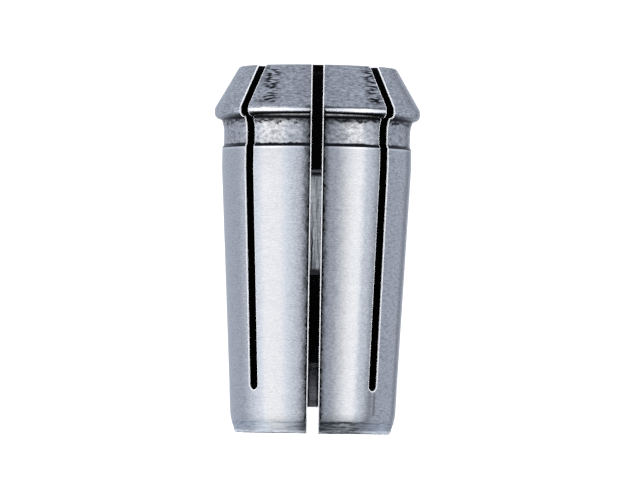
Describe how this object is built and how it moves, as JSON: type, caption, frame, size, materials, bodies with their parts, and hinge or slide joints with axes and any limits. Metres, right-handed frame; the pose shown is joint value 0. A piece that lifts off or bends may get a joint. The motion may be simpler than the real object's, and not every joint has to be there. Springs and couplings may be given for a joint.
{
  "type": "router collet",
  "caption": "Split steel collet for a half-inch cutter shank, with a nose cone, an extractor collar and a tapered slit shank.",
  "frame": {"origin": "centre of the flat tail face, on the collet's axis", "axes": "+Z along the axis towards the nose; the full-length split faces -Y and the hinge web is at +Y"},
  "size_m": [0.0224, 0.0224, 0.04],
  "materials": {
    "ground_steel": "hardened steel: ground round the shank, turned on the cone and in the groove, honed in the bore"
  },
  "bodies": {
    "root": {"collet": "ground_steel"}
  },
  "joints": []
}
